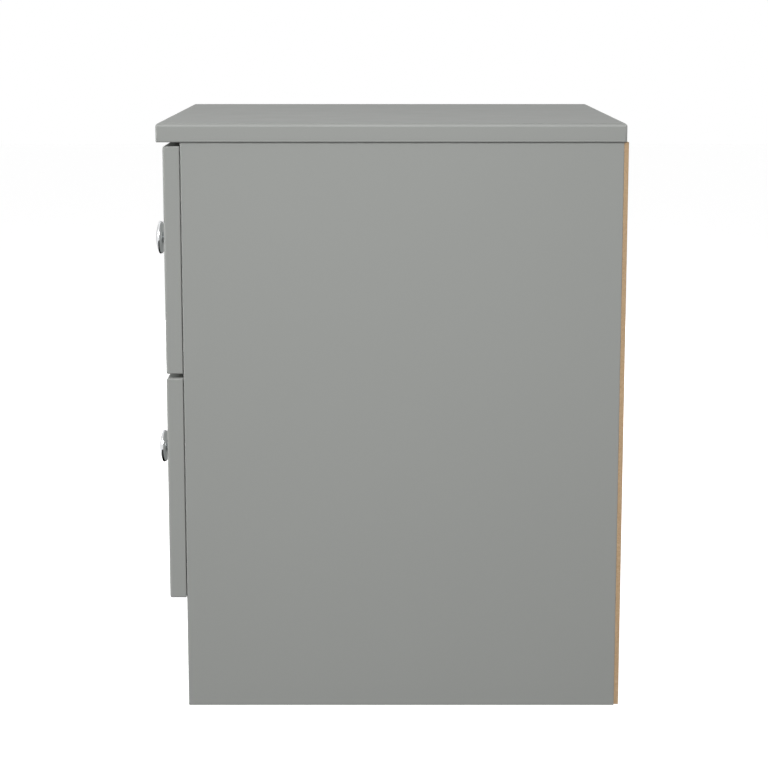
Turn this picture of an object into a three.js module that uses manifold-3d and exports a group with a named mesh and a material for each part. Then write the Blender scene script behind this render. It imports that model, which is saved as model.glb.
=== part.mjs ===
// A bedside cabinet: boards, a hardboard back, and two drawers on roller runners, each with a turned knob.
// Millimetres. +X is to the right of someone facing the drawers, +Y runs from the drawers to the back, and
// +Z is up. The origin is on the floor, in the middle of the whole object's footprint, knobs included.
import * as THREE from "three";
import { mergeVertices } from "three/addons/utils/BufferGeometryUtils.js";
import Module from "manifold-3d";

const wasm = await Module();
wasm.setup();

// -------------------------------------------------------------------------------------------------------
// Driving dimensions
// -------------------------------------------------------------------------------------------------------
const WIDTH = 380; // the top, side to side
const DEPTH = 436; // knob to back panel
const HEIGHT = 531.5; // floor to top

const BOARD = 15; // carcass boards
const TOP_THICKNESS = 16.8;
const TOP_ROUND = 3.5; // the top's upper edges
const TOP_LOWER_ROUND = 1.2;
const TOP_CORNER = 2; // the top's upright corners
const TOP_OVER_SIDE = 2; // how far the top oversails each side panel
const TOP_OVER_DRAWERS = 5.65; // and the drawer fronts
const TOP_OVER_BACK = 2.3; // and the back edges of the side panels
const SIDE_FRONT_ROUND = 1.5; // the side panels' front edges
const SIDE_REAR_ROUND = 0.5;
const BACK_THICKNESS = 4;
const BACK_LIFT = 1; // floor to the back panel's lower edge

const FRONT_THICKNESS = 15; // drawer fronts
const FRONT_HEIGHT = 202.7;
const FRONT_ROUND = 2; // round the visible face
const FRONT_REAR_ROUND = 1;
const FRONT_CORNER = 1.5; // the corners seen from the front
const FRONT_GAP = 3.9; // between the two drawer fronts
const FRONT_PLAY = 0.35; // closed drawer front to the side panels
const LOWEST_FRONT = 101.9; // floor to the lower drawer front
const FIXING_HEIGHT = 102.7; // drawer front's lower edge to its knob and screws

const RAIL_DEPTH = 70; // the boards that tie the side panels together, front to back
const BASE_BEHIND_FRONT = 3; // how much of the base panel's edge the lower drawer front covers
const PLINTH_RECESS = 3;

const BOX_BOARD = 12; // drawer box boards
const BOX_HEIGHT = 140;
const BOX_LENGTH = 350;
const BOX_LIFT = 17; // drawer front's lower edge to the drawer box's lower edge
const RUNNER_SPACE = 12.5; // drawer box to side panel
const BOTTOM_THICKNESS = 3;
const BOTTOM_LIFT = 8; // drawer box's lower edge to its bottom panel
const BOTTOM_TONGUE = 5; // how far the bottom panel enters its grooves
const GROOVE_PLAY = 0.25;

const STEEL = 1.25; // runner sheet
const TRAVEL = 260; // how far a drawer opens
const RUNNER_DROP = 5; // drawer box's lower edge to the cabinet runner's underside
const CABINET_RUNNER_SETBACK = 2; // side panel's front edge to the runner
const FRONT_ROLLER_RADIUS = 8; // turns on the cabinet runner
const REAR_ROLLER_RADIUS = 8.75; // turns on the drawer runner
const FRONT_ROLLER_INSET = 11; // axle to its runner's front end
const REAR_ROLLER_INSET = 12; // axle to the drawer box's rear end
const ROLLER_WIDTH = 6.5;
const ROLLER_PLAY = 0.3; // roller to track
const ROLLER_EDGE = 0.5;
const WEB_TO_ROLLER = 1;
const AXLE_RADIUS = 2.5;
const AXLE_PLAY = 0.25;
const AXLE_HEAD_RADIUS = 4;
const AXLE_HEAD = 1;
const STOP_HEIGHT = 3; // the pressed bump that ends the travel
const STOP_LENGTH = 6;

const KNOB_REACH = 26.45; // from the drawer front's face
const KNOB_RADIUS = 15.8;
const HEAD_THICKNESS = 7.15;
const DOME_HEIGHT = 2.8; // part of the head

const SCREW_RADIUS = 2;
const SCREW_HEAD_RADIUS = 4.25;
const SCREW_HEAD = 2;
const SCREW_POINT = 1.5;
const SCREW_PLAY = 0.25;
const KNOB_SCREW_BITE = 12; // length inside the knob
const FRONT_SCREW_BITE = 11; // length inside the drawer front
const FRONT_SCREW_SPREAD = 100; // each side of the middle

// -------------------------------------------------------------------------------------------------------
// Levels worked out from them
// -------------------------------------------------------------------------------------------------------
const topUnderside = HEIGHT - TOP_THICKNESS;
const frontFace = -DEPTH / 2 + KNOB_REACH; // the drawer fronts' visible face
const frontRear = frontFace + FRONT_THICKNESS;
const carcassFront = frontRear + FRONT_PLAY;
const carcassBack = DEPTH / 2 - BACK_THICKNESS;
const sideOuter = WIDTH / 2 - TOP_OVER_SIDE;
const sideInner = sideOuter - BOARD;
const boxOuter = sideInner - RUNNER_SPACE;
const boxInner = boxOuter - BOX_BOARD;
const boxRear = frontRear + BOX_LENGTH;
const screwSeat = frontRear + BOX_BOARD; // the drawer box's inner front face
const baseTop = LOWEST_FRONT + BASE_BEHIND_FRONT;
const baseUnderside = baseTop - BOARD;
const gapMiddle = LOWEST_FRONT + FRONT_HEIGHT + FRONT_GAP / 2;

// Each drawer's name, with the height of its front's lower edge.
const DRAWERS = { lower: LOWEST_FRONT, upper: LOWEST_FRONT + FRONT_HEIGHT + FRONT_GAP };
const SIDES = { left: -1, right: 1 };

// -------------------------------------------------------------------------------------------------------
// Materials
// -------------------------------------------------------------------------------------------------------
function finish(color, roughness, metalness) {
  return new THREE.MeshStandardMaterial({ color, roughness, metalness });
}

const greyFoil = finish(0x9c9e9b, 0.5, 0);
const hardboard = finish(0xb89a78, 0.75, 0);
const boxFoil = finish(0xd6d6d2, 0.55, 0);
const coatedSteel = finish(0xe9e8e2, 0.4, 0);
const nylon = finish(0xf2f1ec, 0.45, 0);
const zinc = finish(0xb9bcc0, 0.35, 1);
const chrome = finish(0xdfe1e4, 0.08, 1);

// -------------------------------------------------------------------------------------------------------
// Shape helpers
// -------------------------------------------------------------------------------------------------------
const cabinet = new THREE.Group();

function add(name, material, geometry) {
  // Every piece gets a material of its own, so that one piece can be recoloured alone.
  const mesh = new THREE.Mesh(geometry, material.clone());
  mesh.name = name;
  cabinet.add(mesh);
}

function box([x0, x1], [y0, y1], [z0, z1]) {
  const geometry = new THREE.BoxGeometry(x1 - x0, y1 - y0, z1 - z0);
  return geometry.translate((x0 + x1) / 2, (y0 + y1) / 2, (z0 + z1) / 2);
}

// A turn that sends a shape's own x, y and z axes to the three directions given.
function axes(...directions) {
  const [x, y, z] = directions.map((direction) => new THREE.Vector3(...direction));
  return new THREE.Matrix4().makeBasis(x, y, z);
}

const OUTLINE_XY = axes([1, 0, 0], [0, 1, 0], [0, 0, 1]); // an outline in X and Y, extruded towards +Z
const OUTLINE_XZ = axes([1, 0, 0], [0, 0, 1], [0, -1, 0]); // an outline in X and Z, extruded towards -Y
const OUTLINE_YZ = axes([0, 1, 0], [0, 0, 1], [1, 0, 0]); // an outline in Y and Z, extruded towards +X
const TURNED_FORWARD = axes([1, 0, 0], [0, -1, 0], [0, 0, -1]); // a turned profile that rises towards -Y
const TURNED_RIGHT = axes([0, 0, 1], [1, 0, 0], [0, 1, 0]); // a turned profile that rises towards +X
const TURNED_LEFT = axes([0, 0, -1], [-1, 0, 0], [0, 1, 0]); // a turned profile that rises towards -X

function extrude(shape, depth, plane) {
  const geometry = new THREE.ExtrudeGeometry(shape, { depth, bevelEnabled: false, curveSegments: 3 });
  return geometry.applyMatrix4(plane);
}

// A profile is a list of [radius, height] pairs, from its lower end round the outside to its upper end.
function turn(profile, direction, segments) {
  const points = profile.map(([radius, height]) => new THREE.Vector2(radius, height));
  return new THREE.LatheGeometry(points, segments).applyMatrix4(direction);
}

// A round hole or shank along Y.
function rodAlongY(radius, [y0, y1], x, z) {
  const length = y1 - y0;
  const profile = [
    [0, 0],
    [radius, 0],
    [radius, length],
    [0, length],
  ];
  return turn(profile, TURNED_FORWARD, 16).translate(x, y1, z);
}

// A rectangle with a radius for each corner: low-left, low-right, high-right, high-left.
function roundedRectangle([x0, x1], [y0, y1], [r0, r1, r2, r3]) {
  const shape = new THREE.Shape();
  shape.moveTo(x0 + r0, y0);
  shape.lineTo(x1 - r1, y0);
  shape.absarc(x1 - r1, y0 + r1, r1, -Math.PI / 2, 0);
  shape.lineTo(x1, y1 - r2);
  shape.absarc(x1 - r2, y1 - r2, r2, 0, Math.PI / 2);
  shape.lineTo(x0 + r3, y1);
  shape.absarc(x0 + r3, y1 - r3, r3, Math.PI / 2, Math.PI);
  shape.lineTo(x0, y0 + r0);
  shape.absarc(x0 + r0, y0 + r0, r0, Math.PI, 1.5 * Math.PI);
  return shape;
}

function solidOf(geometry) {
  const bare = geometry.clone();
  bare.deleteAttribute("normal");
  bare.deleteAttribute("uv");
  const merged = mergeVertices(bare, 1e-4);
  const vertProperties = merged.attributes.position.array;
  const triVerts = new Uint32Array(merged.index.array);
  return new wasm.Manifold(new wasm.Mesh({ numProp: 3, vertProperties, triVerts }));
}

function geometryOf(solid) {
  const { vertProperties, triVerts } = solid.getMesh();
  const geometry = new THREE.BufferGeometry();
  geometry.setAttribute("position", new THREE.BufferAttribute(vertProperties, 3));
  geometry.setIndex(new THREE.BufferAttribute(triVerts, 1));
  geometry.computeVertexNormals();
  return geometry;
}

function joined(first, ...others) {
  return geometryOf(others.reduce((sum, other) => sum.add(solidOf(other)), solidOf(first)));
}

function cut(blank, ...tools) {
  return geometryOf(tools.reduce((rest, tool) => rest.subtract(solidOf(tool)), solidOf(blank)));
}

// A board that is rounded all over: the three outlines are seen from above, from the side and from the front.
function roundedBoard(xs, ys, zs, { plan, side, front }) {
  const fromAbove = extrude(roundedRectangle(xs, ys, plan), zs[1] - zs[0], OUTLINE_XY);
  const fromSide = extrude(roundedRectangle(ys, zs, side), xs[1] - xs[0], OUTLINE_YZ);
  const fromFront = extrude(roundedRectangle(xs, zs, front), ys[1] - ys[0], OUTLINE_XZ);
  fromAbove.translate(0, 0, zs[0]);
  fromSide.translate(xs[0], 0, 0);
  fromFront.translate(0, ys[1], 0);
  return geometryOf(solidOf(fromAbove).intersect(solidOf(fromSide)).intersect(solidOf(fromFront)));
}

// -------------------------------------------------------------------------------------------------------
// Carcass
// -------------------------------------------------------------------------------------------------------
function addTop() {
  const edges = [TOP_LOWER_ROUND, TOP_LOWER_ROUND, TOP_ROUND, TOP_ROUND];
  const corners = [TOP_CORNER, TOP_CORNER, TOP_CORNER, TOP_CORNER];
  const across = [-WIDTH / 2, WIDTH / 2];
  const along = [frontFace - TOP_OVER_DRAWERS, carcassBack + TOP_OVER_BACK];
  const radii = { plan: corners, side: edges, front: edges };
  add("top_panel", greyFoil, roundedBoard(across, along, [topUnderside, HEIGHT], radii));
}

function addCarcass() {
  const between = [-sideInner, sideInner];
  const atFront = [carcassFront, carcassFront + RAIL_DEPTH];
  const atBack = [carcassBack - RAIL_DEPTH, carcassBack];
  const underTop = [topUnderside - BOARD, topUnderside];
  const plinthFront = carcassFront + PLINTH_RECESS;
  const backUp = [BACK_LIFT, topUnderside];

  for (const [side, sign] of Object.entries(SIDES)) {
    const across = [sign * sideInner, sign * sideOuter].sort((a, b) => a - b);
    const radii = [SIDE_FRONT_ROUND, SIDE_FRONT_ROUND, SIDE_REAR_ROUND, SIDE_REAR_ROUND];
    const plan = roundedRectangle(across, [carcassFront, carcassBack], radii);
    add(`side_panel_${side}`, greyFoil, extrude(plan, topUnderside, OUTLINE_XY));
  }
  add("base_panel", greyFoil, box(between, [carcassFront, carcassBack], [baseUnderside, baseTop]));
  add("plinth", greyFoil, box(between, [plinthFront, plinthFront + BOARD], [0, baseUnderside]));
  add("middle_rail", greyFoil, box(between, atFront, [gapMiddle - BOARD / 2, gapMiddle + BOARD / 2]));
  add("top_front_rail", greyFoil, box(between, atFront, underTop));
  add("top_back_rail", greyFoil, box(between, atBack, underTop));
  add("back_panel", hardboard, box([-sideOuter, sideOuter], [carcassBack, DEPTH / 2], backUp));
}

// -------------------------------------------------------------------------------------------------------
// Drawers
// -------------------------------------------------------------------------------------------------------
function screwHole(x, z, [y0, y1]) {
  return rodAlongY(SCREW_RADIUS + SCREW_PLAY, [y0, y1], x, z);
}

function addDrawerFront(label, low) {
  const across = [-sideOuter, sideOuter];
  const through = [frontFace, frontRear];
  const middle = low + FIXING_HEIGHT;
  const board = roundedBoard(across, through, [low, low + FRONT_HEIGHT], {
    plan: [FRONT_ROUND, FRONT_ROUND, FRONT_REAR_ROUND, FRONT_REAR_ROUND],
    side: [FRONT_ROUND, FRONT_REAR_ROUND, FRONT_REAR_ROUND, FRONT_ROUND],
    front: [FRONT_CORNER, FRONT_CORNER, FRONT_CORNER, FRONT_CORNER],
  });
  const blindEnd = frontRear - FRONT_SCREW_BITE - SCREW_PLAY;
  add(
    `${label}_drawer_front`,
    greyFoil,
    cut(
      board,
      screwHole(0, middle, [frontFace - 1, frontRear + 1]),
      screwHole(-FRONT_SCREW_SPREAD, middle, [blindEnd, frontRear + 1]),
      screwHole(FRONT_SCREW_SPREAD, middle, [blindEnd, frontRear + 1]),
    ),
  );
}

function addDrawerBox(label, low) {
  const bottom = low + BOX_LIFT;
  const middle = low + FIXING_HEIGHT;
  const up = [bottom, bottom + BOX_HEIGHT];
  const between = [-boxInner, boxInner];
  const innerBack = boxRear - BOX_BOARD;
  const panel = [bottom + BOTTOM_LIFT, bottom + BOTTOM_LIFT + BOTTOM_THICKNESS];

  // The bottom panel sits in one groove that runs round the four boards.
  const tongue = BOTTOM_TONGUE + GROOVE_PLAY;
  const groove = box(
    [-boxInner - tongue, boxInner + tongue],
    [screwSeat - tongue, innerBack + tongue],
    [panel[0] - GROOVE_PLAY, panel[1] + GROOVE_PLAY],
  );
  for (const [side, sign] of Object.entries(SIDES)) {
    const across = [sign * boxInner, sign * boxOuter].sort((a, b) => a - b);
    add(`${label}_drawer_side_${side}`, boxFoil, cut(box(across, [frontRear, boxRear], up), groove));
  }
  const holes = [-FRONT_SCREW_SPREAD, 0, FRONT_SCREW_SPREAD].map((x) =>
    screwHole(x, middle, [frontRear - 1, screwSeat + 1]),
  );
  const innerFront = box(between, [frontRear, screwSeat], up);
  add(`${label}_drawer_inner_front`, boxFoil, cut(innerFront, groove, ...holes));
  add(`${label}_drawer_back`, boxFoil, cut(box(between, [innerBack, boxRear], up), groove));
  add(
    `${label}_drawer_bottom`,
    boxFoil,
    box(
      [-boxInner - BOTTOM_TONGUE, boxInner + BOTTOM_TONGUE],
      [screwSeat - BOTTOM_TONGUE, innerBack + BOTTOM_TONGUE],
      panel,
    ),
  );
}

// A turned knob: a foot, a waisted neck that flares under a round head, a rounded back and a low dome.
function addKnob(label, low) {
  const bore = SCREW_RADIUS + SCREW_PLAY;
  const foot = 8;
  const footHeight = 1.5;
  const neck = 5.75;
  const neckHeight = 6;
  const flareHeight = 14.7;
  const headBack = KNOB_REACH - HEAD_THICKNESS;
  const domeEdge = KNOB_REACH - DOME_HEIGHT;
  const profile = new THREE.Path();
  profile.moveTo(0, KNOB_SCREW_BITE + 1);
  profile.lineTo(bore, KNOB_SCREW_BITE + 1);
  profile.lineTo(bore, 0);
  profile.lineTo(foot, 0);
  profile.lineTo(foot, footHeight);
  profile.quadraticCurveTo(neck, footHeight + 0.5, neck, neckHeight);
  profile.lineTo(neck, flareHeight);
  profile.quadraticCurveTo(neck, headBack - 0.3, KNOB_RADIUS - 2.4, headBack);
  profile.quadraticCurveTo(KNOB_RADIUS - 0.3, headBack + 0.4, KNOB_RADIUS, headBack + 3);
  profile.quadraticCurveTo(KNOB_RADIUS, domeEdge - 0.35, KNOB_RADIUS - 0.9, domeEdge);
  profile.quadraticCurveTo(KNOB_RADIUS / 2, KNOB_REACH, 0, KNOB_REACH);
  const pairs = profile.getPoints(5).map((point) => [Math.max(point.x, 0), point.y]);
  const middle = low + FIXING_HEIGHT;
  add(`${label}_knob`, chrome, turn(pairs, TURNED_FORWARD, 28).translate(0, frontFace, middle));
}

// A pan-head screw that points forward from inside the drawer.
function addScrew(name, x, z, length) {
  const profile = [
    [0, -SCREW_HEAD],
    [SCREW_HEAD_RADIUS - 1, -SCREW_HEAD],
    [SCREW_HEAD_RADIUS, -SCREW_HEAD / 2],
    [SCREW_HEAD_RADIUS, 0],
    [SCREW_RADIUS, 0],
    [SCREW_RADIUS, length - SCREW_POINT],
    [0, length],
  ];
  add(name, zinc, turn(profile, TURNED_FORWARD, 16).translate(x, screwSeat, z));
}

function addDrawerScrews(label, low) {
  const middle = low + FIXING_HEIGHT;
  addScrew(`${label}_knob_screw`, 0, middle, BOX_BOARD + FRONT_THICKNESS + KNOB_SCREW_BITE);
  for (const [side, sign] of Object.entries(SIDES)) {
    const x = sign * FRONT_SCREW_SPREAD;
    addScrew(`${label}_front_screw_${side}`, x, middle, BOX_BOARD + FRONT_SCREW_BITE);
  }
}

// -------------------------------------------------------------------------------------------------------
// Roller runners. Heights count from the cabinet runner's underside, and distances across a runner count
// outwards from the drawer box.
// -------------------------------------------------------------------------------------------------------
const frontAxleHeight = STEEL + ROLLER_PLAY + FRONT_ROLLER_RADIUS;
const rearAxleHeight = STEEL + ROLLER_PLAY + REAR_ROLLER_RADIUS;
const flangeUnder = frontAxleHeight + FRONT_ROLLER_RADIUS + ROLLER_PLAY; // lies above the front roller
const flangeTop = flangeUnder + STEEL;
const ceilingUnder = flangeTop + 0.5; // the cabinet runner's upper flange
const ceilingTop = ceilingUnder + STEEL;
const cabinetWeb = RUNNER_SPACE - STEEL; // inner face of the cabinet runner's web
const frontAxleAlong = carcassFront + CABINET_RUNNER_SETBACK + FRONT_ROLLER_INSET;
const rearAxleAlong = boxRear - REAR_ROLLER_INSET;

function runnerOutline(points, sign) {
  return new THREE.Shape(points.map(([across, up]) => new THREE.Vector2(sign * (boxOuter + across), up)));
}

function acrossRunner(from, to, sign) {
  return [sign * (boxOuter + from), sign * (boxOuter + to)].sort((a, b) => a - b);
}

// A channel on the side panel. The drawer's rear roller runs inside it, up to a pressed bump.
function addCabinetRunner(name, sign, low) {
  const trackLip = 2.5;
  const ceilingLip = 3.5;
  const channel = [
    [trackLip, 0],
    [RUNNER_SPACE, 0],
    [RUNNER_SPACE, ceilingTop],
    [ceilingLip, ceilingTop],
    [ceilingLip, ceilingUnder],
    [cabinetWeb, ceilingUnder],
    [cabinetWeb, STEEL],
    [trackLip, STEEL],
  ];
  const rear = carcassFront + CABINET_RUNNER_SETBACK + BOX_LENGTH;
  const rail = extrude(runnerOutline(channel, sign), BOX_LENGTH, OUTLINE_XZ).translate(0, rear, low);
  const stopTop = STEEL + STOP_HEIGHT;
  const reach = Math.sqrt(REAR_ROLLER_RADIUS ** 2 - (rearAxleHeight - stopTop) ** 2);
  const stopRear = rearAxleAlong - TRAVEL - reach - ROLLER_PLAY;
  const stopAlong = [stopRear - STOP_LENGTH, stopRear];
  const stop = box(acrossRunner(4, 8, sign), stopAlong, [low + STEEL / 2, low + stopTop]);
  add(name, coatedSteel, joined(rail, stop));
}

// An angle under the drawer box, whose outer flange lies on the front roller and ends ahead of the rear one.
function addDrawerRunner(name, sign, low) {
  const inward = -(BOX_BOARD - 1);
  const lip = 9.5;
  const angle = [
    [inward, RUNNER_DROP - STEEL],
    [STEEL, RUNNER_DROP - STEEL],
    [STEEL, flangeUnder],
    [lip, flangeUnder],
    [lip, flangeTop],
    [0, flangeTop],
    [0, RUNNER_DROP],
    [inward, RUNNER_DROP],
  ];
  const rail = extrude(runnerOutline(angle, sign), BOX_LENGTH - 1, OUTLINE_XZ).translate(0, boxRear, low);
  const notchAlong = [boxRear - 2 * REAR_ROLLER_INSET, boxRear + 1];
  const notchUp = [low + flangeUnder - 1, low + flangeTop + 1];
  const notch = box(acrossRunner(STEEL, lip + 1, sign), notchAlong, notchUp);
  add(name, coatedSteel, cut(rail, notch));
}

// A roller and the riveted axle that it turns on. The axle stands on a web and points away from it.
function addRoller(names, radius, web, sign, along, up) {
  const direction = sign > 0 ? TURNED_RIGHT : TURNED_LEFT;
  const bore = AXLE_RADIUS + AXLE_PLAY;
  const far = WEB_TO_ROLLER + ROLLER_WIDTH;
  const wheel = [
    [bore, WEB_TO_ROLLER],
    [radius - ROLLER_EDGE, WEB_TO_ROLLER],
    [radius, WEB_TO_ROLLER + ROLLER_EDGE],
    [radius, far - ROLLER_EDGE],
    [radius - ROLLER_EDGE, far],
    [bore, far],
    [bore, WEB_TO_ROLLER],
  ];
  add(names.roller, nylon, turn(wheel, direction, 24).translate(web, along, up));
  const head = far + AXLE_PLAY;
  const rivet = [
    [0, 0],
    [AXLE_RADIUS, 0],
    [AXLE_RADIUS, head],
    [AXLE_HEAD_RADIUS, head],
    [AXLE_HEAD_RADIUS - 0.5, head + AXLE_HEAD],
    [0, head + AXLE_HEAD],
  ];
  add(names.axle, zinc, turn(rivet, direction, 16).translate(web, along, up));
}

function addRunners(label, frontLow) {
  const low = frontLow + BOX_LIFT - RUNNER_DROP;
  for (const [side, sign] of Object.entries(SIDES)) {
    addCabinetRunner(`${label}_cabinet_runner_${side}`, sign, low);
    addDrawerRunner(`${label}_drawer_runner_${side}`, sign, low);

    const front = { roller: `${label}_front_roller_${side}`, axle: `${label}_front_axle_${side}` };
    const fixedWeb = sign * (boxOuter + cabinetWeb);
    addRoller(front, FRONT_ROLLER_RADIUS, fixedWeb, -sign, frontAxleAlong, low + frontAxleHeight);

    const rear = { roller: `${label}_rear_roller_${side}`, axle: `${label}_rear_axle_${side}` };
    const movingWeb = sign * (boxOuter + STEEL);
    addRoller(rear, REAR_ROLLER_RADIUS, movingWeb, sign, rearAxleAlong, low + rearAxleHeight);
  }
}

// -------------------------------------------------------------------------------------------------------
// Assembly
// -------------------------------------------------------------------------------------------------------
addTop();
addCarcass();
for (const [label, low] of Object.entries(DRAWERS)) {
  addDrawerFront(label, low);
  addDrawerBox(label, low);
  addKnob(label, low);
  addDrawerScrews(label, low);
  addRunners(label, low);
}

export default cabinet;
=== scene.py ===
import math

import bmesh
import bpy
from mathutils import Matrix, Vector


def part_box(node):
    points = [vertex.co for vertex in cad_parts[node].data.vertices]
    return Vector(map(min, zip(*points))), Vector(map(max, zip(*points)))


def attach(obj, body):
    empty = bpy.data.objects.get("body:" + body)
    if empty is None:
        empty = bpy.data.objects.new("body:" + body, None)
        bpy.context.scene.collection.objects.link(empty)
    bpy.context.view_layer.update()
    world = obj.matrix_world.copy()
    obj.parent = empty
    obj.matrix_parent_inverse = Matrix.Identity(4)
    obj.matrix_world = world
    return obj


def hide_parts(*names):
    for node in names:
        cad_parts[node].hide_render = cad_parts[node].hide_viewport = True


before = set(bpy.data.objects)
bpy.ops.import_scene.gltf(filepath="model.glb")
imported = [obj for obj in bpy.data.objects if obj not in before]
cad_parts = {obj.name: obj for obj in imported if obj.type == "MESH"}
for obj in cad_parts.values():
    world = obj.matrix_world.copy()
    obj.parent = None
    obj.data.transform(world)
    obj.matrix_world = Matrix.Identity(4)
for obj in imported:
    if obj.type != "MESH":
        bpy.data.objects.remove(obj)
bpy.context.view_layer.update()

MM = 0.001
SIDES = {"left": -1, "right": 1}
DRAWERS = ("upper", "lower")
SHARP = math.radians(35)  # an edge that turns further than this is a real edge


class Nodes:
    """A node tree, with short ways to add, feed and combine its nodes."""

    # Which inputs of a mix node take its two values, and which output gives the result.
    MIX_SOCKETS = {"FLOAT": (2, 3, 0), "RGBA": (6, 7, 2)}

    def __init__(self, tree):
        self.tree = tree

    def node(self, kind, **settings):
        made = self.tree.nodes.new(kind)
        for key, value in settings.items():
            setattr(made, key, value)
        return made

    def feed(self, socket, value):
        if isinstance(value, bpy.types.NodeSocket):
            self.tree.links.new(value, socket)
        else:
            socket.default_value = value

    def maths(self, operation, first, second):
        made = self.node("ShaderNodeMath", operation=operation)
        self.feed(made.inputs[0], first)
        self.feed(made.inputs[1], second)
        return made.outputs[0]

    def span(self, value, low, high, to_low=0.0, to_high=1.0, **settings):
        """Turns the range from low to high into the range from to_low to to_high."""
        made = self.node("ShaderNodeMapRange", **settings)
        self.feed(made.inputs["Value"], value)
        for socket, number in zip(("From Min", "From Max", "To Min", "To Max"), (low, high, to_low, to_high)):
            made.inputs[socket].default_value = number
        return made.outputs["Result"]

    def mix(self, kind, amount, first, second):
        made = self.node("ShaderNodeMix", data_type=kind)
        one, two, result = self.MIX_SOCKETS[kind]
        for socket, value in ((0, amount), (one, first), (two, second)):
            self.feed(made.inputs[socket], value)
        return made.outputs[result]


# ---------------------------------------------------------------------------------------------------
# Finishes. Scales are per metre: a noise or a cell is about 1 / scale across, and bands are 0.31 / scale apart.
# ---------------------------------------------------------------------------------------------------
NOISE_SPREAD = (0.25, 0.75)  # where most of a noise's values lie


def linear(red, green, blue):
    """A colour as seen on a screen, 0 to 255, as the light it stands for."""
    parts = [part / 255 for part in (red, green, blue)]
    return tuple(p / 12.92 if p <= 0.04045 else ((p + 0.055) / 1.055) ** 2.4 for p in parts) + (1,)


class Finish(Nodes):
    """A material under construction, whose patterns are fixed to the object."""

    def __init__(self, name, roughness, metallic=0.0, **fixed):
        self.material = bpy.data.materials.new(name)
        self.material.use_nodes = True
        super().__init__(self.material.node_tree)
        self.shader = self.tree.nodes["Principled BSDF"]
        self.shader.inputs["Roughness"].default_value = roughness
        self.shader.inputs["Metallic"].default_value = metallic
        for socket, value in fixed.items():
            self.shader.inputs[socket.replace("_", " ")].default_value = value
        self.where = self.node("ShaderNodeTexCoord").outputs["Object"]
        self.bumps = None

    def stretched(self, scale):
        """The place on the object, with each axis scaled on its own."""
        mapping = self.node("ShaderNodeMapping", vector_type="POINT")
        self.feed(mapping.inputs["Vector"], self.where)
        mapping.inputs["Scale"].default_value = scale
        return mapping.outputs["Vector"]

    def noise(self, scale, detail=2.0, roughness=0.5, distortion=0.0, where=None):
        made = self.node("ShaderNodeTexNoise")
        self.feed(made.inputs["Vector"], where or self.where)
        made.inputs["Scale"].default_value = scale
        made.inputs["Detail"].default_value = detail
        made.inputs["Roughness"].default_value = roughness
        made.inputs["Distortion"].default_value = distortion
        return made.outputs["Fac"]

    def cells(self, scale):
        made = self.node("ShaderNodeTexVoronoi", feature="F1")
        self.feed(made.inputs["Vector"], self.where)
        made.inputs["Scale"].default_value = scale
        return made

    def bands(self, scale, direction, distortion=0.0):
        made = self.node("ShaderNodeTexWave", bands_direction=direction)
        self.feed(made.inputs["Vector"], self.where)
        made.inputs["Scale"].default_value = scale
        made.inputs["Distortion"].default_value = distortion
        return made.outputs["Fac"]

    def colour(self, value):
        self.feed(self.shader.inputs["Base Color"], value)

    def tint(self, value, low, high, darker, lighter):
        """The colour goes from darker to lighter as the value goes from low to high."""
        self.colour(self.mix("RGBA", self.span(value, low, high), darker, lighter))

    def gloss(self, noise, low, high):
        """The roughness goes from low to high with the noise."""
        self.feed(self.shader.inputs["Roughness"], self.span(noise, *NOISE_SPREAD, low, high))

    def bump(self, height, depth):
        """Adds a relief on top of those already there."""
        made = self.node("ShaderNodeBump")
        made.inputs["Strength"].default_value = 1.0
        made.inputs["Distance"].default_value = depth
        self.feed(made.inputs["Height"], height)
        if self.bumps is not None:
            self.feed(made.inputs["Normal"], self.bumps)
        self.bumps = made.outputs["Normal"]
        self.feed(self.shader.inputs["Normal"], self.bumps)


def grey_foil():
    """Satin grey foil on the boards, with the faint unevenness of a sprayed and wrapped surface."""
    made = Finish("grey_foil_finish", 0.48, Specular_IOR_Level=0.5)
    clouds = made.noise(5.0, 3.0)
    speckle = made.noise(1100.0, 2.0)
    tone = made.maths("ADD", made.maths("MULTIPLY", clouds, 0.4), made.maths("MULTIPLY", speckle, 0.6))
    made.tint(tone, 0.35, 0.65, linear(156.3, 158.3, 155.3), linear(157.7, 159.7, 156.7))
    made.gloss(made.noise(26.0, 4.0), 0.44, 0.52)
    made.bump(made.noise(240.0, 2.0), 0.012 * MM)
    made.bump(made.noise(1900.0, 3.0), 0.012 * MM)
    return made.material


def hardboard():
    """Pressed wood fibre: smooth tan faces with darker flecks, and a woven screen pattern on the outside."""
    fibre_dark, fibre_light = linear(179, 148, 112), linear(210, 181, 147)
    patch, fleck = linear(183, 155, 121), linear(112, 82, 54)
    skin = 0.3 * MM  # the screen pattern is on what lies this near the outer face
    made = Finish("hardboard_finish", 0.75, Specular_IOR_Level=0.3)
    fibres = made.noise(420.0, 6.0, 0.7, 1.2)
    patches = made.noise(14.0, 3.0)
    flecks = made.cells(520.0).outputs["Distance"]
    tan = made.mix("RGBA", made.span(fibres, 0.3, 0.7), fibre_dark, fibre_light)
    tan = made.mix("RGBA", made.span(patches, 0.3, 0.7, 0.0, 0.35), tan, patch)
    tan = made.mix("RGBA", made.span(flecks, 0.0, 0.16, 0.55, 0.0), tan, fleck)
    made.colour(tan)
    made.gloss(patches, 0.68, 0.82)
    place = made.node("ShaderNodeSeparateXYZ")
    made.feed(place.inputs[0], made.where)
    outer_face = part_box("back_panel")[1].y
    outside = made.maths("GREATER_THAN", place.outputs["Y"], outer_face - skin)
    screen = made.maths("MULTIPLY", made.bands(195.0, "X"), made.bands(195.0, "Z"))
    made.bump(made.maths("MULTIPLY", screen, outside), 0.22 * MM)
    made.bump(fibres, 0.06 * MM)
    return made.material


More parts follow.
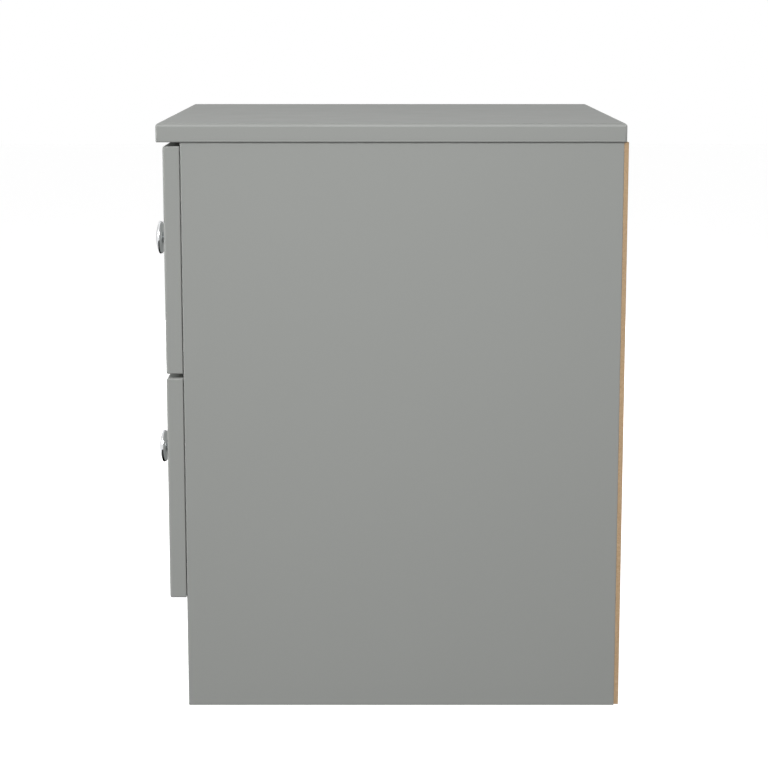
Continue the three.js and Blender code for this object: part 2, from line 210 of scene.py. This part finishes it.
def box_foil():
    """Pale paper foil with a fine linen pattern, on the drawer boxes."""
    made = Finish("box_foil_finish", 0.55, Specular_IOR_Level=0.4)
    threads = [made.bands(330.0, direction, 1.5) for direction in ("X", "Y", "Z")]
    linen = made.maths("ADD", made.maths("ADD", threads[0], threads[1]), threads[2])
    shade = made.maths("ADD", linen, made.noise(60.0, 4.0))
    made.tint(shade, 1.2, 2.6, linear(204, 204, 199), linear(220, 220, 215))
    made.gloss(made.noise(40.0, 3.0), 0.48, 0.6)
    made.bump(linen, 0.02 * MM)
    return made.material


def coated_steel():
    """White powder coat on pressed sheet steel."""
    made = Finish("coated_steel_finish", 0.38)
    grain = made.noise(900.0, 2.0)
    clouds = made.noise(35.0, 3.0)
    made.tint(clouds, 0.3, 0.7, linear(228, 227, 219), linear(238, 237, 231))
    made.gloss(clouds, 0.33, 0.43)
    made.bump(grain, 0.03 * MM)
    return made.material


def nylon():
    """Natural moulded nylon."""
    made = Finish("nylon_finish", 0.42)
    clouds = made.noise(160.0, 3.0)
    made.tint(clouds, 0.3, 0.7, linear(236, 234, 224), linear(246, 245, 238))
    made.gloss(clouds, 0.36, 0.48)
    made.bump(made.noise(1500.0, 2.0), 0.01 * MM)
    return made.material


def zinc():
    """Bright zinc plate, slightly streaked and spangled."""
    made = Finish("zinc_finish", 0.35, 1.0)
    spangle = made.node("ShaderNodeSeparateColor")
    made.feed(spangle.inputs[0], made.cells(700.0).outputs["Color"])
    streaks = made.noise(300.0, 3.0, where=made.stretched((1.0, 0.15, 1.0)))
    made.tint(spangle.outputs[0], 0.0, 1.0, linear(182, 186, 190), linear(206, 209, 212))
    made.gloss(streaks, 0.27, 0.42)
    made.bump(streaks, 0.01 * MM)
    return made.material


def chrome():
    """Polished chrome plate with hair-fine wiping marks."""
    made = Finish("chrome_finish", 0.08, 1.0)
    marks = made.noise(900.0, 4.0, where=made.stretched((1.0, 1.0, 0.12)))
    clouds = made.noise(90.0, 2.0)
    made.tint(clouds, 0.3, 0.7, linear(222, 224, 226), linear(230, 232, 234))
    made.gloss(marks, 0.05, 0.11)
    made.bump(marks, 0.001 * MM)
    return made.material


FINISHES = {make.__name__: make() for make in (grey_foil, hardboard, box_foil, coated_steel, nylon, zinc, chrome)}


# ---------------------------------------------------------------------------------------------------
# The CAD nodes that stay: joined-up shading, and the small roundings that real boards and pressings have
# ---------------------------------------------------------------------------------------------------
# How far the sharp edges of each kind of carried piece are rounded, in millimetres.
ROUNDING = {"grey_foil": 0.4, "hardboard": 0.25, "box_foil": 0.6, "coated_steel": 0.3}
SAME_PLACE = 0.01 * MM  # corners nearer than this are one corner
SAME_PLANE = math.radians(0.5)  # faces that turn less than this are one face


def shading_group():
    """Merges the corners that faces share, and leaves only real edges sharp."""
    group = bpy.data.node_groups.new("shade_by_angle", "GeometryNodeTree")
    for way in ("INPUT", "OUTPUT"):
        group.interface.new_socket("Geometry", in_out=way, socket_type="NodeSocketGeometry")
    chain = [
        group.nodes.new(kind)
        for kind in (
            "NodeGroupInput",
            "GeometryNodeMergeByDistance",
            "GeometryNodeRemoveAttribute",
            "GeometryNodeSetShadeSmooth",
            "GeometryNodeSetShadeSmooth",
            "NodeGroupOutput",
        )
    ]
    for before, after in zip(chain, chain[1:]):
        group.links.new(before.outputs[0], after.inputs[0])
    _, merge, clear, faces, edges, _ = chain
    merge.inputs["Distance"].default_value = SAME_PLACE
    clear.inputs["Name"].default_value = "custom_normal"
    faces.inputs["Shade Smooth"].default_value = True
    edges.domain = "EDGE"
    edges.inputs["Shade Smooth"].default_value = False
    angle = group.nodes.new("GeometryNodeInputMeshEdgeAngle")
    above = group.nodes.new("FunctionNodeCompare")
    above.inputs["B"].default_value = SHARP
    group.links.new(angle.outputs["Unsigned Angle"], above.inputs["A"])
    group.links.new(above.outputs["Result"], edges.inputs["Selection"])
    return group


SHADING = shading_group()


def carry(name):
    """Dresses a CAD node, whose own mesh stays as it is."""
    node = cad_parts[name]
    kind = node.material_slots[0].material.name.split(".")[0]
    for place in node.material_slots:
        place.link = "OBJECT"
        place.material = FINISHES[kind]
    node.modifiers.new("shade_by_angle", "NODES").node_group = SHADING
    flat = node.modifiers.new("flat_faces", "DECIMATE")
    flat.decimate_type = "DISSOLVE"
    flat.angle_limit = SAME_PLANE
    rounding = node.modifiers.new("rounding", "BEVEL")
    rounding.limit_method = "ANGLE"
    rounding.angle_limit = SHARP
    rounding.width = ROUNDING[kind] * MM
    rounding.segments = 2
    weighted = node.modifiers.new("flat_shading", "WEIGHTED_NORMAL")
    weighted.weight = 100
    weighted.keep_sharp = True


# ---------------------------------------------------------------------------------------------------
# New pieces. Profiles are (radius, height) pairs in millimetres.
# ---------------------------------------------------------------------------------------------------
ON_AXIS = 1e-6  # a smaller radius than this is a point on the axis

# The cross recess of a screw, and the tool that cuts it.
HALF_SLOT = 0.16  # half the width of a slot, as a share of the cross's width
TAPER = 0.62  # the width of the tool's tip, as a share of the width of its other end
TOOL_PROUD = 1.0  # how far the tool stands out of the head, in millimetres


def turned(profile, segments, ring=False):
    """A turned shape. A ring's profile is a closed loop."""
    shape = bmesh.new()
    angles = [2 * math.pi * i / segments for i in range(segments)]
    loops = []
    for radius, height in profile:
        if radius < ON_AXIS:
            places = [(0, 0, height * MM)]
        else:
            places = [(radius * math.cos(a) * MM, radius * math.sin(a) * MM, height * MM) for a in angles]
        loops.append([shape.verts.new(place) for place in places])
    following = loops[1:] + loops[:1] if ring else loops[1:]
    for low, high in zip(loops, following):
        for i in range(segments):
            j = (i + 1) % segments
            corners = (low[i % len(low)], low[j % len(low)], high[j % len(high)], high[i % len(high)])
            shape.faces.new(dict.fromkeys(corners))
    bmesh.ops.recalc_face_normals(shape, faces=shape.faces)
    return shape


def curve(start, control, end, steps):
    """The points after start on a smooth arc to end, which leaves and arrives aimed at control."""
    points = []
    for i in range(1, steps + 1):
        t = i / steps
        leave, pull, arrive = (1 - t) ** 2, 2 * t * (1 - t), t * t
        points.append(tuple(leave * a + pull * b + arrive * c for a, b, c in zip(start, control, end)))
    return points


def facing(direction, place):
    """The move that aims a turned shape's height along direction, from place."""
    return Matrix.Translation(place) @ Vector(direction).to_track_quat("Z", "Y").to_matrix().to_4x4()


def mesh_of(shape, name):
    """A mesh from a bmesh, with only real edges sharp."""
    for face in shape.faces:
        face.smooth = True
    for edge in shape.edges:
        edge.smooth = edge.calc_face_angle(0.0) < SHARP
    mesh = bpy.data.meshes.new(name)
    shape.to_mesh(mesh)
    shape.free()
    return mesh


def piece(name, mesh, slot, body, place, replaced=()):
    """Adds a copy of the mesh at its place. It rides on a body, and may stand for CAD nodes."""
    made = bpy.data.objects.new(name, mesh.copy())
    made.data.transform(place)
    made.data.materials.append(FINISHES[slot])
    bpy.context.scene.collection.objects.link(made)
    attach(made, body)
    if replaced:
        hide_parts(*replaced)


def crossed(shape, across, deep, top):
    """Cuts a cross recess into the head of a screw whose top is at the height given, in millimetres."""
    blank = bpy.data.objects.new("blank", mesh_of(shape, "blank"))
    cross = bmesh.new()
    half = across * HALF_SLOT
    quarter = [(half, half), (half, across / 2), (-half, across / 2)]
    corners = []
    for turn in range(4):
        a = math.pi / 2 * turn
        corners += [(x * math.cos(a) - y * math.sin(a), x * math.sin(a) + y * math.cos(a)) for x, y in quarter]
    rings = []
    for height, share in ((top - TOOL_PROUD, 1.0), (top + deep, TAPER)):
        rings.append([cross.verts.new((x * share * MM, y * share * MM, height * MM)) for x, y in corners])
        cross.faces.new(rings[-1])
    outer, inner = rings
    for i in range(len(corners)):
        j = (i + 1) % len(corners)
        cross.faces.new((outer[i], outer[j], inner[j], inner[i]))
    bmesh.ops.recalc_face_normals(cross, faces=cross.faces)
    tool = bpy.data.objects.new("tool", mesh_of(cross, "tool"))
    for helper in (blank, tool):
        bpy.context.scene.collection.objects.link(helper)
    cut = blank.modifiers.new("cut", "BOOLEAN")
    cut.operation = "DIFFERENCE"
    cut.solver = "EXACT"
    cut.object = tool
    bpy.context.view_layer.update()
    evaluated = blank.evaluated_get(bpy.context.evaluated_depsgraph_get())
    result = bmesh.new()
    result.from_mesh(evaluated.to_mesh())
    evaluated.to_mesh_clear()
    for helper in (blank, tool):
        mesh = helper.data
        bpy.data.objects.remove(helper)
        bpy.data.meshes.remove(mesh)
    return result


def knob_mesh():
    """A turned knob: a foot, a waisted neck, a round head with a rounded back, and a low dome."""
    profile = [(0, 13), (2.25, 13), (2.25, 0), (7.8, 0), (8, 0.2), (8, 1.15), (7.9, 1.4), (7.6, 1.55)]
    profile += curve((7.6, 1.55), (5.75, 2.0), (5.75, 6), 12)
    profile += [(5.75, 14.7)]
    profile += curve((5.75, 14.7), (5.75, 19), (13.4, 19.3), 24)
    profile += curve((13.4, 19.3), (15.5, 19.7), (15.8, 22.3), 16)
    profile += curve((15.8, 22.3), (15.8, 23.3), (14.9, 23.65), 10)
    profile += curve((14.9, 23.65), (7.9, 26.45), (0, 26.45), 24)
    return mesh_of(turned(profile, 128), "knob")


def roller_mesh(radius):
    """A moulded wheel with a hub and a rim on each face."""
    width = 6.5
    face = [(2.75, 0.2), (2.95, 0), (4.25, 0), (4.45, 0.15), (4.7, 0.9), (radius - 2.2, 0.9), (radius - 1.9, 0.15)]
    face += [(radius - 1.7, 0), (radius - 0.5, 0), (radius - 0.15, 0.15), (radius, 0.5)]
    loop = face + [(r, width - h) for r, h in reversed(face)]
    return mesh_of(turned(loop, 72, ring=True), "roller")


def axle_mesh():
    """A riveted axle with a domed, dimpled head."""
    head = 7.75
    profile = [(0, 0), (2.5, 0), (2.5, head), (3.85, head), (4, head + 0.15), (4, head + 0.35)]
    profile += [(3.8, head + 0.65), (3.2, head + 0.88), (2.2, head + 1), (1.5, head + 0.98)]
    profile += [(0.9, head + 0.75), (0, head + 0.65)]
    return mesh_of(turned(profile, 48), "axle")


def screw_mesh(length):
    """A pan-head screw, point up, whose head hangs below height 0."""
    head_top, thread_start, point_start, pitch = -2, 1.5, length - 3.5, 0.7
    root, crest = 1.6, 2
    profile = [(0, head_top), (1.6, -1.98), (2.6, -1.85), (3.4, -1.55), (3.95, -1.05), (4.2, -0.5), (4.25, -0.1)]
    profile += [(4.15, 0), (crest, 0), (crest, thread_start)]
    height = thread_start
    while height < point_start:
        profile += [(root, height + pitch / 2), (crest, height + pitch)]
        height += pitch
    profile += [(1.5, length - 1.8), (0, length)]
    return mesh_of(crossed(turned(profile, 36), across=4.4, deep=1.3, top=head_top), "screw")


def flat_screw_mesh():
    """The head of a countersunk screw, which stands a little proud of its sheet."""
    head_top = -0.5
    profile = [(0, head_top), (2.4, -0.48), (3.1, -0.36), (3.45, -0.15), (3.5, 0.1), (1.8, 1.2), (0, 1.2)]
    return mesh_of(crossed(turned(profile, 36), across=3.8, deep=0.9, top=head_top), "flat_screw")


def pin_mesh():
    """The head of a panel pin."""
    profile = [(0, -0.55), (0.9, -0.52), (1.6, -0.42), (2.05, -0.2), (2.15, 0.05), (0.8, 0.3), (0, 0.3)]
    return mesh_of(turned(profile, 24), "pin")


def middle(node):
    low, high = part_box(node)
    return (low + high) / 2


# Knobs, the screws behind them, and the screws that hold each front to its box.
KNOB = knob_mesh()
KNOB_SCREW = screw_mesh(39)
FRONT_SCREW = screw_mesh(23)
FORWARD = (0, -1, 0)
for label in DRAWERS:
    body = f"{label}_drawer"
    node = f"{label}_knob"
    centre = middle(node)
    seat = (centre.x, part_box(node)[1].y, centre.z)
    piece(f"{node}_turned", KNOB, "chrome", body, facing(FORWARD, seat), [node])
    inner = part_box(f"{label}_drawer_inner_front")[1].y
    for node, mesh in (
        (f"{label}_knob_screw", KNOB_SCREW),
        (f"{label}_front_screw_left", FRONT_SCREW),
        (f"{label}_front_screw_right", FRONT_SCREW),
    ):
        centre = middle(node)
        piece(f"{node}_crossed", mesh, "zinc", body, facing(FORWARD, (centre.x, inner, centre.z)), [node])

# Rollers and their axles. Those in front stand out from the carcass, those at the rear from the drawer.
AXLE = axle_mesh()
for label in DRAWERS:
    for end in ("front", "rear"):
        for side, sign in SIDES.items():
            roller = f"{label}_{end}_roller_{side}"
            axle = f"{label}_{end}_axle_{side}"
            way = -sign if end == "front" else sign
            low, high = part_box(roller)
            centre = (low + high) / 2
            radius = (high.z - low.z) / 2 / MM
            start = low.x if way > 0 else high.x
            place = facing((way, 0, 0), (start, centre.y, centre.z))
            piece(f"{roller}_moulded", roller_mesh(radius), "nylon", roller, place, [roller])
            low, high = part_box(axle)
            start = low.x if way > 0 else high.x
            place = facing((way, 0, 0), (start, centre.y, centre.z))
            axle_body = "root" if end == "front" else f"{label}_drawer"
            piece(f"{axle}_riveted", AXLE, "zinc", axle_body, place, [axle])

# Screws that hold the runners.
FLAT_SCREW = flat_screw_mesh()
STEEL = 1.25 * MM  # the thickness of a runner's sheet
# Where the screws stand along each kind of runner, and how high above its lower edge.
CABINET_SCREWS = ((-0.128, 0.012, 0.142), 10.4 * MM)
DRAWER_SCREWS = ((-0.15, -0.01, 0.13), 7.4 * MM)


def screw_row(runner, side, body, way, web, bottom, screws):
    """Puts screws along a runner, pointing the way given, into the face of its sheet at web."""
    spots, height = screws
    for number, along in enumerate(spots, 1):
        place = facing((way, 0, 0), (web, along, bottom + height))
        piece(f"{runner}_screw_{side}_{number}", FLAT_SCREW, "zinc", body, place)


for label in DRAWERS:
    for side, sign in SIDES.items():
        low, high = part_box(f"{label}_cabinet_runner_{side}")
        web = sign * (max(abs(low.x), abs(high.x)) - STEEL)
        screw_row(f"{label}_cabinet_runner", side, "root", sign, web, low.z, CABINET_SCREWS)
        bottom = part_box(f"{label}_drawer_runner_{side}")[0].z
        web = sign * (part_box(f"{label}_drawer_side_right")[1].x + STEEL)
        screw_row(f"{label}_drawer_runner", side, f"{label}_drawer", -sign, web, bottom, DRAWER_SCREWS)

# Pins round the back panel: up both sides, then along the rail at the top and the base.
PIN = pin_mesh()
LOWEST_PIN, PIN_RISE, PINS_UP_A_SIDE = 0.035, 0.064, 8
PIN_SPACING = 0.085
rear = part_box("back_panel")[1].y
edge = middle("side_panel_right").x
spots = [(sign * edge, LOWEST_PIN + PIN_RISE * i) for sign in (-1, 1) for i in range(PINS_UP_A_SIDE)]
for board in ("top_back_rail", "base_panel"):
    spots += [(PIN_SPACING * i, middle(board).z) for i in (-1.5, -0.5, 0.5, 1.5)]
for number, (x, z) in enumerate(spots, 1):
    piece(f"back_pin_{number:02d}", PIN, "zinc", "root", facing(FORWARD, (x, rear, z)))

for name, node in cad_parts.items():
    if not node.hide_render:
        carry(name)

# ---------------------------------------------------------------------------------------------------
# Studio
# ---------------------------------------------------------------------------------------------------
# The camera looks straight at the right side. It was solved from the photograph's perspective, and its lens and
# its angle were rounded.
CAMERA_PLACE = (2.0666, 0.0031, 0.6308)
CAMERA_DOWN = 10  # degrees below level
LENS, SENSOR = 100, 36  # millimetres

# How bright the surroundings are: the soft light, what reflections see, and what the camera sees.
SKY_ABOVE, SKY_BELOW = 0.17, 0.4
SKY_IN_FRONT, SKY_BEHIND = 1.35, 0.65  # factors on the soft light
SHEEN_ABOVE, SHEEN_FAR, SHEEN_BELOW = 1.0, 0.4, 0.005
BACKDROP = 1.0

FLOOR_SIZE = 8  # metres
FLOOR_GLOW = 0.8

scene = bpy.context.scene
scene.view_settings.view_transform = "Standard"
scene.view_settings.look = "None"

camera = bpy.data.cameras.new("camera")
camera.lens = LENS
camera.sensor_width = SENSOR
viewer = bpy.data.objects.new("camera", camera)
viewer.location = CAMERA_PLACE
viewer.rotation_euler = (math.radians(90 - CAMERA_DOWN), 0, math.radians(90))
scene.collection.objects.link(viewer)
scene.camera = viewer


def studio_light():
    """White behind the object, and a soft light that is stronger from below and from the front.

    Reflections see a bright room, with a dimmer patch on the far side and a dark floor.
    """
    world = bpy.data.worlds.new("studio")
    scene.world = world
    world.use_nodes = True
    sky = Nodes(world.node_tree)
    ray = sky.node("ShaderNodeLightPath")
    direction = sky.node("ShaderNodeSeparateXYZ")
    sky.feed(direction.inputs[0], sky.node("ShaderNodeTexCoord").outputs["Generated"])

    def rise(axis, low, high):
        """0 where the direction's share along an axis is below low, 1 where it is above high."""
        return sky.span(direction.outputs[axis], low, high, interpolation_type="SMOOTHSTEP")

    def mixed(amount, first, second):
        return sky.mix("FLOAT", amount, first, second)

    soft = mixed(rise("Z", -0.3, 0.3), SKY_BELOW, SKY_ABOVE)
    soft = sky.maths("MULTIPLY", soft, mixed(rise("Y", -1.0, 1.0), SKY_IN_FRONT, SKY_BEHIND))
    above = mixed(rise("X", -0.97, -0.85), SHEEN_FAR, SHEEN_ABOVE)
    polished = mixed(rise("Z", -0.3, -0.24), SHEEN_BELOW, above)
    seen = mixed(ray.outputs["Is Glossy Ray"], soft, polished)
    seen = mixed(ray.outputs["Is Camera Ray"], seen, BACKDROP)
    background = sky.tree.nodes["Background"]
    background.inputs["Color"].default_value = (1, 1, 1, 1)
    sky.feed(background.inputs["Strength"], seen)


def area_light(name, place, target, size, power, spread, mirrored=True):
    """A rectangular lamp aimed at target. Spread is in degrees, and mirrored says if reflections show it."""
    light = bpy.data.lights.new(name, "AREA")
    light.shape = "RECTANGLE"
    light.size, light.size_y = size
    light.energy = power
    light.spread = math.radians(spread)
    lamp = bpy.data.objects.new(name, light)
    lamp.location = place
    aim = Vector(target) - Vector(place)
    lamp.rotation_euler = aim.to_track_quat("-Z", "Y").to_euler()
    lamp.visible_glossy = mirrored
    scene.collection.objects.link(lamp)


def floor():
    """A floor that glows to white, so that next to no shadow shows. It lights nothing and isn't mirrored."""
    shape = bmesh.new()
    bmesh.ops.create_grid(shape, x_segments=1, y_segments=1, size=FLOOR_SIZE)
    made = bpy.data.objects.new("floor", mesh_of(shape, "floor"))
    material = bpy.data.materials.new("floor_finish")
    material.use_nodes = True
    shader = material.node_tree.nodes["Principled BSDF"]
    shader.inputs["Base Color"].default_value = (0.9, 0.9, 0.9, 1)
    shader.inputs["Roughness"].default_value = 0.8
    shader.inputs["Specular IOR Level"].default_value = 0.1
    shader.inputs["Emission Color"].default_value = (1, 1, 1, 1)
    shader.inputs["Emission Strength"].default_value = FLOOR_GLOW
    made.data.materials.append(material)
    made.visible_diffuse = False
    made.visible_glossy = False
    scene.collection.objects.link(made)


studio_light()
area_light("key", (2.24, 0, 1.9), (0.19, 0, 0.3), size=(1.0, 1.0), power=4.1, spread=50)
area_light("front", (0.63, -2.08, 1.11), (0.1, -0.1, 0.3), size=(1.2, 1.2), power=26, spread=180)
area_light("left", (-2.2, -0.3, 0.6), (0, 0, 0.3), size=(1.2, 1.2), power=18, spread=180, mirrored=False)
area_light("back", (-0.5, 2.2, 0.3), (0, 0.2, 0.3), size=(0.8, 0.4), power=16, spread=180, mirrored=False)
floor()
